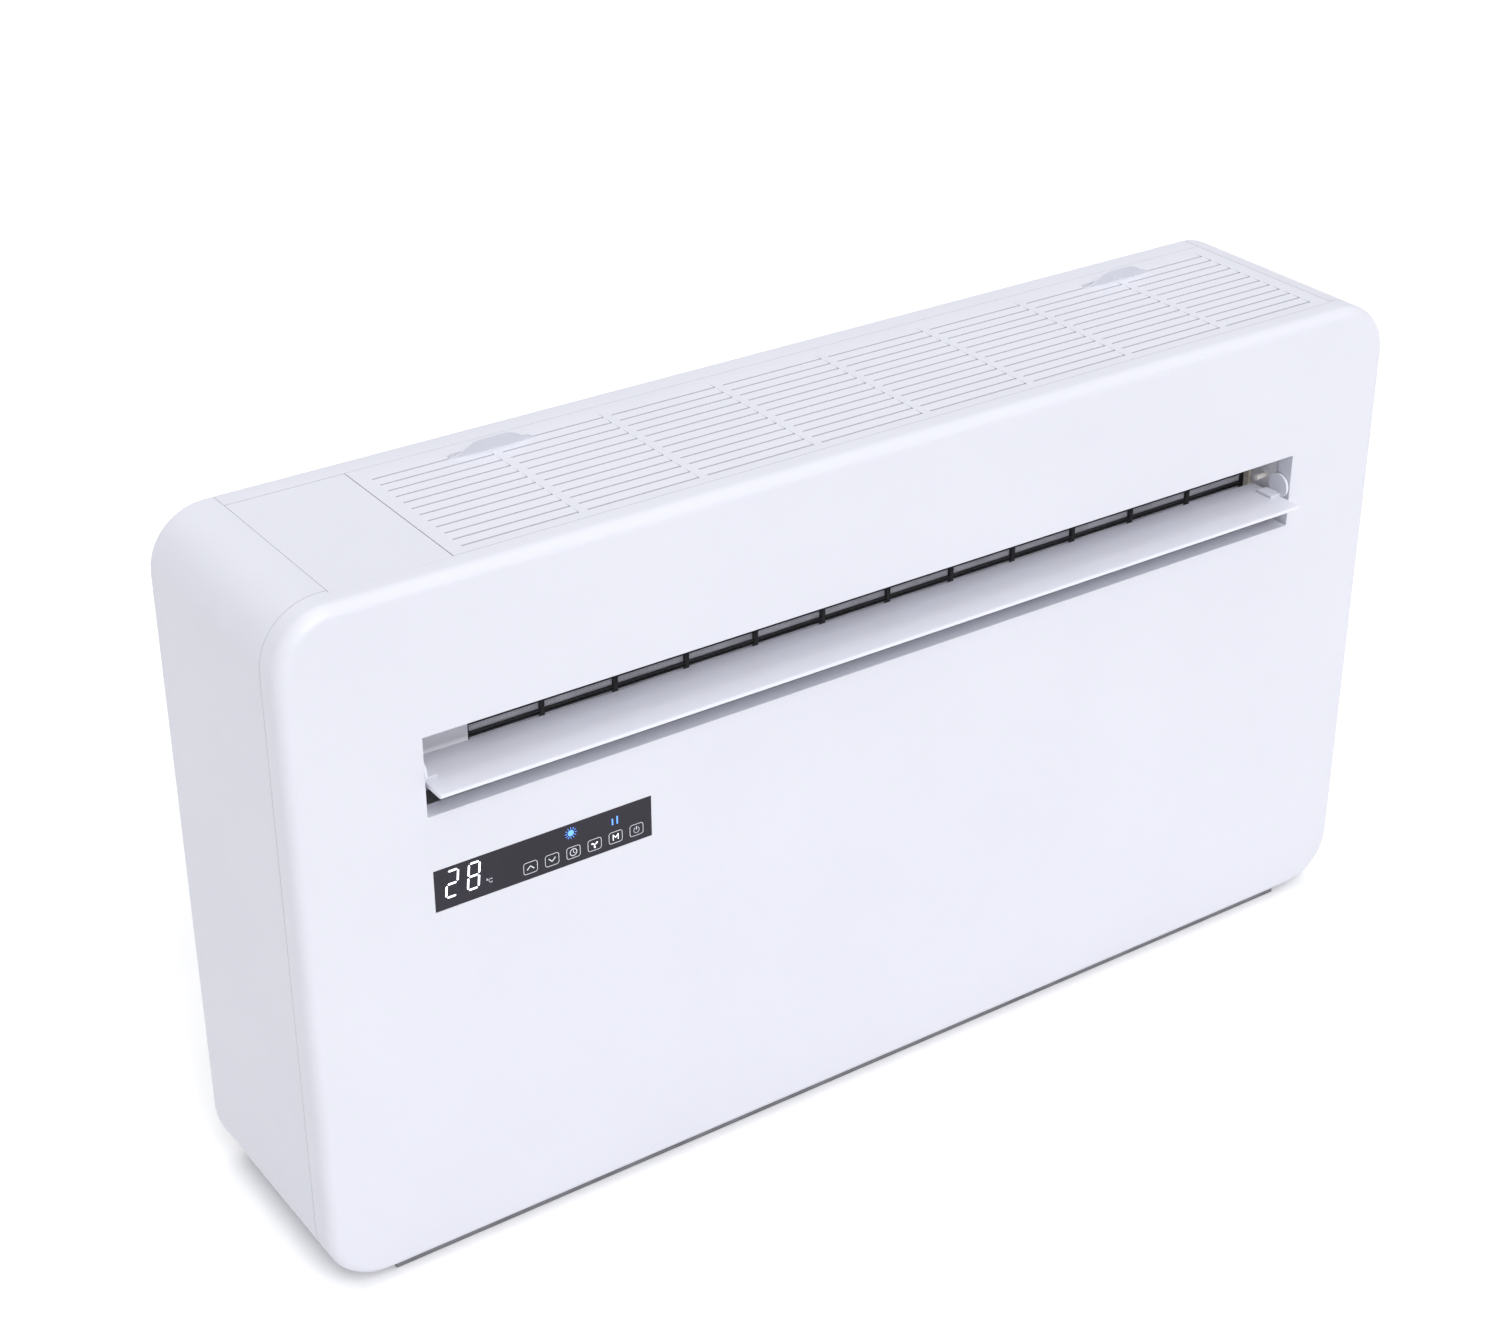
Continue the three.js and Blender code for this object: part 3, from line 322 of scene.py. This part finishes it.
MATERIALS = {
    "front_panel": white,
    "rear_housing": white,
    "blank_cover": white,
    "intake_grille": white,
    "outlet_flap": flap_lit_white,
    "flap_clip_left": flap_lit_white,
    "flap_clip_right": flap_lit_white,
    "flap_stop_upper": cream,
    "flap_stop_lower": cream,
    "blower_tongue": inner_white,
    "duct_end_block": inner_white,
    "drip_tray": inner_white,
    "exhaust_collar": inner_white,
    "intake_collar": inner_white,
    "fan_drum": inner_white,
    "drain_spout": inner_white,
    "duct_seal_strip": cream_foam,
    "outlet_guard": black,
    "crossflow_fan": grey,
    "exhaust_fan": grey,
    "control_box": grey,
    "display_window": glass,
    "display_board": board,
    "main_board": board,
    "dust_filter_left": filter_mesh,
    "dust_filter_right": filter_mesh,
    "duct_end_plate": zinc,
    "blower_scroll": shaded_duct_zinc,
    "guard_mesh": wire_mesh,
    "base_tray": tray_steel_and_contact_shadow,
    "mid_deck": zinc,
    "base_pan": zinc,
    "fan_motor": steel,
    "flap_motor": steel,
    "exhaust_fan_motor": steel,
    "evaporator_coil": fins_x,
    "condenser_coil": fins_z,
    "compressor": black_steel,
    "accumulator": black_steel,
    "fan_bearing": dark_rubber,
    "cord_gland": dark_rubber,
    "discharge_pipe": copper,
    "suction_pipe": copper,
    "accumulator_pipe": copper,
    "liquid_pipe": copper,
    "filter_drier": copper,
    "capillary_pipe": copper,
}
for index in (1, 2, 3, 4):
    MATERIALS[f"back_screw_{index}"] = steel
for index in (1, 2, 3):
    MATERIALS[f"compressor_foot_{index}"] = dark_rubber


# ------------------------------------------------------------------ smooth shading


def smoothing_group():
    """Smooth faces, with sharp edges kept where two faces turn by over 32 degrees."""
    group = bpy.data.node_groups.new("smooth_by_angle", "GeometryNodeTree")
    group.interface.new_socket("Geometry", in_out="INPUT", socket_type="NodeSocketGeometry")
    group.interface.new_socket("Geometry", in_out="OUTPUT", socket_type="NodeSocketGeometry")
    start = group.nodes.new("NodeGroupInput")
    end = group.nodes.new("NodeGroupOutput")
    drop = group.nodes.new("GeometryNodeRemoveAttribute")
    drop.inputs["Name"].default_value = "custom_normal"
    faces = group.nodes.new("GeometryNodeSetShadeSmooth")
    faces.domain = "FACE"
    faces.inputs["Shade Smooth"].default_value = True
    edges = group.nodes.new("GeometryNodeSetShadeSmooth")
    edges.domain = "EDGE"
    edges.inputs["Shade Smooth"].default_value = False
    angle = group.nodes.new("GeometryNodeInputMeshEdgeAngle")
    sharp = group.nodes.new("FunctionNodeCompare")
    sharp.data_type = "FLOAT"
    sharp.operation = "GREATER_THAN"
    sharp.inputs[1].default_value = SHARP_ANGLE
    group.links.new(angle.outputs["Unsigned Angle"], sharp.inputs[0])
    group.links.new(sharp.outputs["Result"], edges.inputs["Selection"])
    group.links.new(start.outputs[0], drop.inputs["Geometry"])
    group.links.new(drop.outputs["Geometry"], faces.inputs["Geometry"])
    group.links.new(faces.outputs["Geometry"], edges.inputs["Geometry"])
    group.links.new(edges.outputs["Geometry"], end.inputs[0])
    return group


SMOOTH = smoothing_group()


def finish_surface(obj, edge):
    """Joins split vertices, rounds sharp edges by a radius and smooths the shading."""
    weld = obj.modifiers.new("weld", "WELD")
    weld.merge_threshold = WELD_DISTANCE
    if edge:
        bevel = obj.modifiers.new("edges", "BEVEL")
        bevel.width = edge
        bevel.segments = 2
        bevel.limit_method = "ANGLE"
        bevel.angle_limit = BEVEL_ANGLE
        bevel.miter_outer = "MITER_ARC"
        bevel.harden_normals = False
    smooth = obj.modifiers.new("smooth", "NODES")
    smooth.node_group = SMOOTH
    normals = obj.modifiers.new("normals", "WEIGHTED_NORMAL")
    normals.keep_sharp = True


# Edge rounding in metres, for the pieces whose edges show.
EDGES = {
    "intake_grille": 0.00025,
    "front_panel": 0.0006,
    "blank_cover": 0.0005,
    "outlet_guard": 0.0003,
    "flap_clip_left": 0.0004,
    "flap_clip_right": 0.0004,
    "duct_end_block": 0.0005,
    "control_box": 0.0005,
    "exhaust_collar": 0.0005,
    "intake_collar": 0.0005,
}
for name, obj in nodes.items():
    for slot in obj.material_slots:
        slot.material = MATERIALS[name]
    finish_surface(obj, EDGES.get(name, 0.0))


# ------------------------------------------------------------------ display marks

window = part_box("display_window")
GLASS_Y = window[0][1]
MARK_DEPTH = 0.00006
MARK_FRONT = GLASS_Y - MARK_DEPTH
MARK_BACK = GLASS_Y + MARK_DEPTH
LEFT = window[0][0]
LOW = window[0][2]


def prism(mesh, points):
    """Adds a flat plate with an outline of (x, z) points to a bmesh."""
    front = [mesh.verts.new((x, MARK_FRONT, z)) for x, z in points]
    back = [mesh.verts.new((x, MARK_BACK, z)) for x, z in points]
    mesh.faces.new(front)
    mesh.faces.new(list(reversed(back)))
    count = len(points)
    for i in range(count):
        j = (i + 1) % count
        mesh.faces.new((front[i], back[i], back[j], front[j]))


def stroke(mesh, points, width):
    """A drawn line through (x, z) points, as one short plate per stretch."""
    for (ax, az), (bx, bz) in zip(points, points[1:]):
        length = math.hypot(bx - ax, bz - az)
        ux = (bx - ax) / length * width / 2
        uz = (bz - az) / length * width / 2
        outline = [
            (ax - ux + uz, az - uz - ux),
            (bx + ux + uz, bz + uz - ux),
            (bx + ux - uz, bz + uz + ux),
            (ax - ux - uz, az - uz + ux),
        ]
        prism(mesh, outline)


def band(mesh, inner, outer):
    """A closed plate between two loops of (x, z) points."""
    loops = []
    for y in (MARK_FRONT, MARK_BACK):
        for loop in (inner, outer):
            loops.append([mesh.verts.new((x, y, z)) for x, z in loop])
    near_in, near_out, far_in, far_out = loops
    count = len(inner)
    for i in range(count):
        j = (i + 1) % count
        mesh.faces.new((near_out[i], near_out[j], near_in[j], near_in[i]))
        mesh.faces.new((far_in[i], far_in[j], far_out[j], far_out[i]))
        mesh.faces.new((near_out[j], near_out[i], far_out[i], far_out[j]))
        mesh.faces.new((near_in[i], near_in[j], far_in[j], far_in[i]))


def circle(cx, cz, radius, count=28, start=0.0, turn=360.0):
    """Points on a circle, or on an arc when the turn is under 360 degrees."""
    steps = count if turn >= 360 else count + 1
    points = []
    for i in range(steps):
        angle = math.radians(start + turn * i / count)
        points.append((cx + radius * math.cos(angle), cz + radius * math.sin(angle)))
    return points


def rounded(cx, cz, width, height, radius):
    """A rectangle's outline with rounded corners."""
    points = []
    for sx, sz, start in ((1, -1, -90), (1, 1, 0), (-1, 1, 90), (-1, -1, 180)):
        mx = cx + sx * (width / 2 - radius)
        mz = cz + sz * (height / 2 - radius)
        points += circle(mx, mz, radius, 5, start, 90.0)
    return points


def marks(name, draw, material):
    """One display mark as its own piece on the cabinet."""
    mesh = bmesh.new()
    draw(mesh)
    bmesh.ops.recalc_face_normals(mesh, faces=mesh.faces)
    data = bpy.data.meshes.new(name)
    mesh.to_mesh(data)
    mesh.free()
    data.materials.append(material)
    obj = bpy.data.objects.new(name, data)
    bpy.context.scene.collection.objects.link(obj)
    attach(obj, "cabinet")


def digit(mesh, x, z, on):
    """A seven-segment digit whose lower left corner is at x, z."""
    wide = 8.6 * MM
    tall = 21.0 * MM
    thick = 1.6 * MM
    lean = 0.10
    gap = 0.65 * MM

    def place(px, pz):
        return (x + px + pz * lean, z + pz)

    half = tall / 2
    lines = {
        "a": ((gap, tall), (wide - gap, tall)),
        "b": ((wide, tall - gap), (wide, half + gap)),
        "c": ((wide, half - gap), (wide, gap)),
        "d": ((gap, 0), (wide - gap, 0)),
        "e": ((0, half - gap), (0, gap)),
        "f": ((0, tall - gap), (0, half + gap)),
        "g": ((gap, half), (wide - gap, half)),
    }
    for key in on:
        (ax, az), (bx, bz) = lines[key]
        length = math.hypot(bx - ax, bz - az)
        ux = (bx - ax) / length
        uz = (bz - az) / length
        t = thick / 2
        outline = [
            (ax, az),
            (ax + ux * t + uz * t, az + uz * t - ux * t),
            (bx - ux * t + uz * t, bz - uz * t - ux * t),
            (bx, bz),
            (bx - ux * t - uz * t, bz - uz * t + ux * t),
            (ax + ux * t - uz * t, az + uz * t + ux * t),
        ]
        prism(mesh, [place(px, pz) for px, pz in outline])


glow_white = lit("glow_white", (0.86, 0.90, 1.0), 1.5)
soft_white = lit("key_white", (0.62, 0.64, 0.70), 0.3)
bright_white = lit("bright_key", (0.80, 0.82, 0.88), 0.9)
glow_blue = lit("glow_blue", (0.10, 0.30, 0.95), 1.3)

DIGIT_X = LEFT + 8.6 * MM
DIGIT_Z = LOW + 8.9 * MM


def draw_number(mesh):
    digit(mesh, DIGIT_X, DIGIT_Z, "abged")
    digit(mesh, DIGIT_X + 17.2 * MM, DIGIT_Z, "abcdefg")


def draw_celsius(mesh):
    cx = LEFT + 43.4 * MM
    cz = LOW + 10.7 * MM
    stroke(mesh, circle(cx + 1.0 * MM, cz, 1.5 * MM, 12, 50, 260), 0.6 * MM)
    ring_x = cx - 1.9 * MM
    ring_z = cz + 1.5 * MM
    band(mesh, circle(ring_x, ring_z, 0.35 * MM, 10), circle(ring_x, ring_z, 0.8 * MM, 10))


KEY_Z = LOW + 9.4 * MM
KEY_X = [LEFT + (76.5 + 17.75 * i) * MM for i in range(6)]
KEY_W = 11.6 * MM
KEY_H = 9.8 * MM


def draw_keys(mesh):
    for x in KEY_X:
        outer = rounded(x, KEY_Z, KEY_W, KEY_H, 2.2 * MM)
        inner = rounded(x, KEY_Z, KEY_W - 0.8 * MM, KEY_H - 0.8 * MM, 1.8 * MM)
        band(mesh, inner, outer)


def chevron(mesh, x, end, tip):
    """An arrow head whose ends and tip are these heights above the key's middle."""
    reach = 2.6 * MM
    points = [(x - reach, KEY_Z + end), (x, KEY_Z + tip), (x + reach, KEY_Z + end)]
    stroke(mesh, points, 0.75 * MM)


def draw_up(mesh):
    chevron(mesh, KEY_X[0], -1.2 * MM, 1.5 * MM)


def draw_down(mesh):
    chevron(mesh, KEY_X[1], 1.3 * MM, -1.4 * MM)


def draw_clock(mesh):
    x = KEY_X[2]
    band(mesh, circle(x, KEY_Z, 2.5 * MM), circle(x, KEY_Z, 3.1 * MM))
    stroke(mesh, [(x, KEY_Z + 1.7 * MM), (x, KEY_Z), (x + 1.2 * MM, KEY_Z - 0.9 * MM)], 0.5 * MM)


def draw_fan(mesh):
    x = KEY_X[3]
    prism(mesh, circle(x, KEY_Z, 0.7 * MM, 14))
    for blade in range(3):
        turn = math.radians(120 * blade + 30)
        outline = []
        for px, pz in circle(0, 0, 1.0, 16):
            u = 2.0 + 1.15 * px
            v = 0.72 * pz + 0.25 * px
            outline.append((
                x + (u * math.cos(turn) - v * math.sin(turn)) * MM,
                KEY_Z + (u * math.sin(turn) + v * math.cos(turn)) * MM,
            ))
        prism(mesh, outline)


def draw_mode(mesh):
    x = KEY_X[4]
    w = 2.1 * MM
    h = 2.1 * MM
    stroke(mesh, [
        (x - w, KEY_Z - h), (x - w, KEY_Z + h), (x, KEY_Z - 0.2 * MM),
        (x + w, KEY_Z + h), (x + w, KEY_Z - h),
    ], 0.65 * MM)


def draw_power(mesh):
    x = KEY_X[5]
    stroke(mesh, circle(x, KEY_Z - 0.2 * MM, 2.3 * MM, 20, 125, 290), 0.6 * MM)
    stroke(mesh, [(x, KEY_Z + 0.3 * MM), (x, KEY_Z + 2.7 * MM)], 0.6 * MM)


def draw_sun(mesh):
    cx = LEFT + 110.4 * MM
    cz = LOW + 26.0 * MM
    prism(mesh, circle(cx, cz, 2.5 * MM, 24))
    near = 3.4 * MM
    far = 4.8 * MM
    for i in range(12):
        c = math.cos(math.radians(30 * i))
        s = math.sin(math.radians(30 * i))
        stroke(mesh, [(cx + near * c, cz + near * s), (cx + far * c, cz + far * s)], 0.35 * MM)


def draw_bars(mesh):
    foot = LOW + 20.8 * MM
    for dx, tall in ((145.2, 4.2), (149.2, 5.2)):
        x = LEFT + dx * MM
        stroke(mesh, [(x, foot), (x, foot + tall * MM)], 1.1 * MM)


marks("display_number", draw_number, glow_white)
marks("display_celsius", draw_celsius, soft_white)
marks("key_frames", draw_keys, soft_white)
marks("key_up", draw_up, soft_white)
marks("key_down", draw_down, soft_white)
marks("key_clock", draw_clock, soft_white)
marks("key_fan", draw_fan, bright_white)
marks("key_mode", draw_mode, bright_white)
marks("key_power", draw_power, soft_white)
marks("display_sun", draw_sun, glow_blue)
marks("display_bars", draw_bars, glow_blue)


# ------------------------------------------------------------------ stage


def floor():
    mesh = bmesh.new()
    half = FLOOR_HALF
    corners = [(-half, -half), (half, -half), (half, half), (-half, half)]
    mesh.faces.new([mesh.verts.new((x, y, -FLOOR_DROP)) for x, y in corners])
    data = bpy.data.meshes.new("floor")
    mesh.to_mesh(data)
    mesh.free()
    material, tree, shader = new_material("floor_white")
    vector = coordinates(tree)
    colour = ramp(tree, noise(tree, vector, 3.0), (0.93, 0.93, 0.935), (0.95, 0.95, 0.955))
    tree.links.new(colour, shader.inputs["Base Color"])
    shader.inputs["Roughness"].default_value = 0.9
    shader.inputs["Specular IOR Level"].default_value = 0.1
    shader.inputs["Emission Color"].default_value = (1, 1, 1, 1)
    shader.inputs["Emission Strength"].default_value = 0.04
    data.materials.append(material)
    obj = bpy.data.objects.new("floor", data)
    bpy.context.scene.collection.objects.link(obj)


floor()

scene = bpy.context.scene
world = bpy.data.worlds.new("studio")
world.use_nodes = True
sky = world.node_tree
background = sky.nodes["Background"]
background.inputs["Color"].default_value = (0.97, 0.975, 1.0, 1)
background.inputs["Strength"].default_value = SKY_STRENGTH
# What is seen past the floor's end is plain white, while the light stays even and dim.
backdrop = sky.nodes.new("ShaderNodeBackground")
backdrop.inputs["Color"].default_value = (1, 1, 1, 1)
backdrop.inputs["Strength"].default_value = 1.0
path = sky.nodes.new("ShaderNodeLightPath")
seen = sky.nodes.new("ShaderNodeMixShader")
sky.links.new(path.outputs["Is Camera Ray"], seen.inputs[0])
sky.links.new(background.outputs["Background"], seen.inputs[1])
sky.links.new(backdrop.outputs["Background"], seen.inputs[2])
sky.links.new(seen.outputs["Shader"], sky.nodes["World Output"].inputs["Surface"])
scene.world = world
scene.view_settings.view_transform = "Standard"
scene.view_settings.look = "None"


def soft_key(name, towards, strength, spread):
    """A large even softbox, far off in the given direction."""
    data = bpy.data.lights.new(name, "SUN")
    data.energy = strength
    data.angle = math.radians(spread)
    obj = bpy.data.objects.new(name, data)
    obj.rotation_euler = Vector(towards).to_track_quat("Z", "Y").to_euler()
    scene.collection.objects.link(obj)


soft_key("front_key", (-0.06, -0.42, 0.42), 2.05, 40)
soft_key("top_key", (-0.03, 0.10, 1.0), 1.58, 60)

back_axis = Vector((
    math.sin(AZIMUTH) * math.cos(ELEVATION),
    -math.cos(AZIMUTH) * math.cos(ELEVATION),
    math.sin(ELEVATION),
))
right_axis = Vector((0, 0, 1)).cross(back_axis).normalized()
up_axis = back_axis.cross(right_axis)
right_rolled = math.cos(ROLL) * right_axis + math.sin(ROLL) * up_axis
up_rolled = -math.sin(ROLL) * right_axis + math.cos(ROLL) * up_axis
lens = bpy.data.cameras.new("camera")
lens.lens = LENS_MM
lens.sensor_fit = "HORIZONTAL"
lens.sensor_width = SENSOR_MM
lens.clip_end = FAR_CLIP
camera = bpy.data.objects.new("camera", lens)
turn = Matrix((right_rolled, up_rolled, back_axis)).transposed().to_4x4()
camera.matrix_world = Matrix.Translation(CAMERA_PLACE) @ turn
scene.collection.objects.link(camera)
scene.camera = camera

bpy.context.view_layer.update()
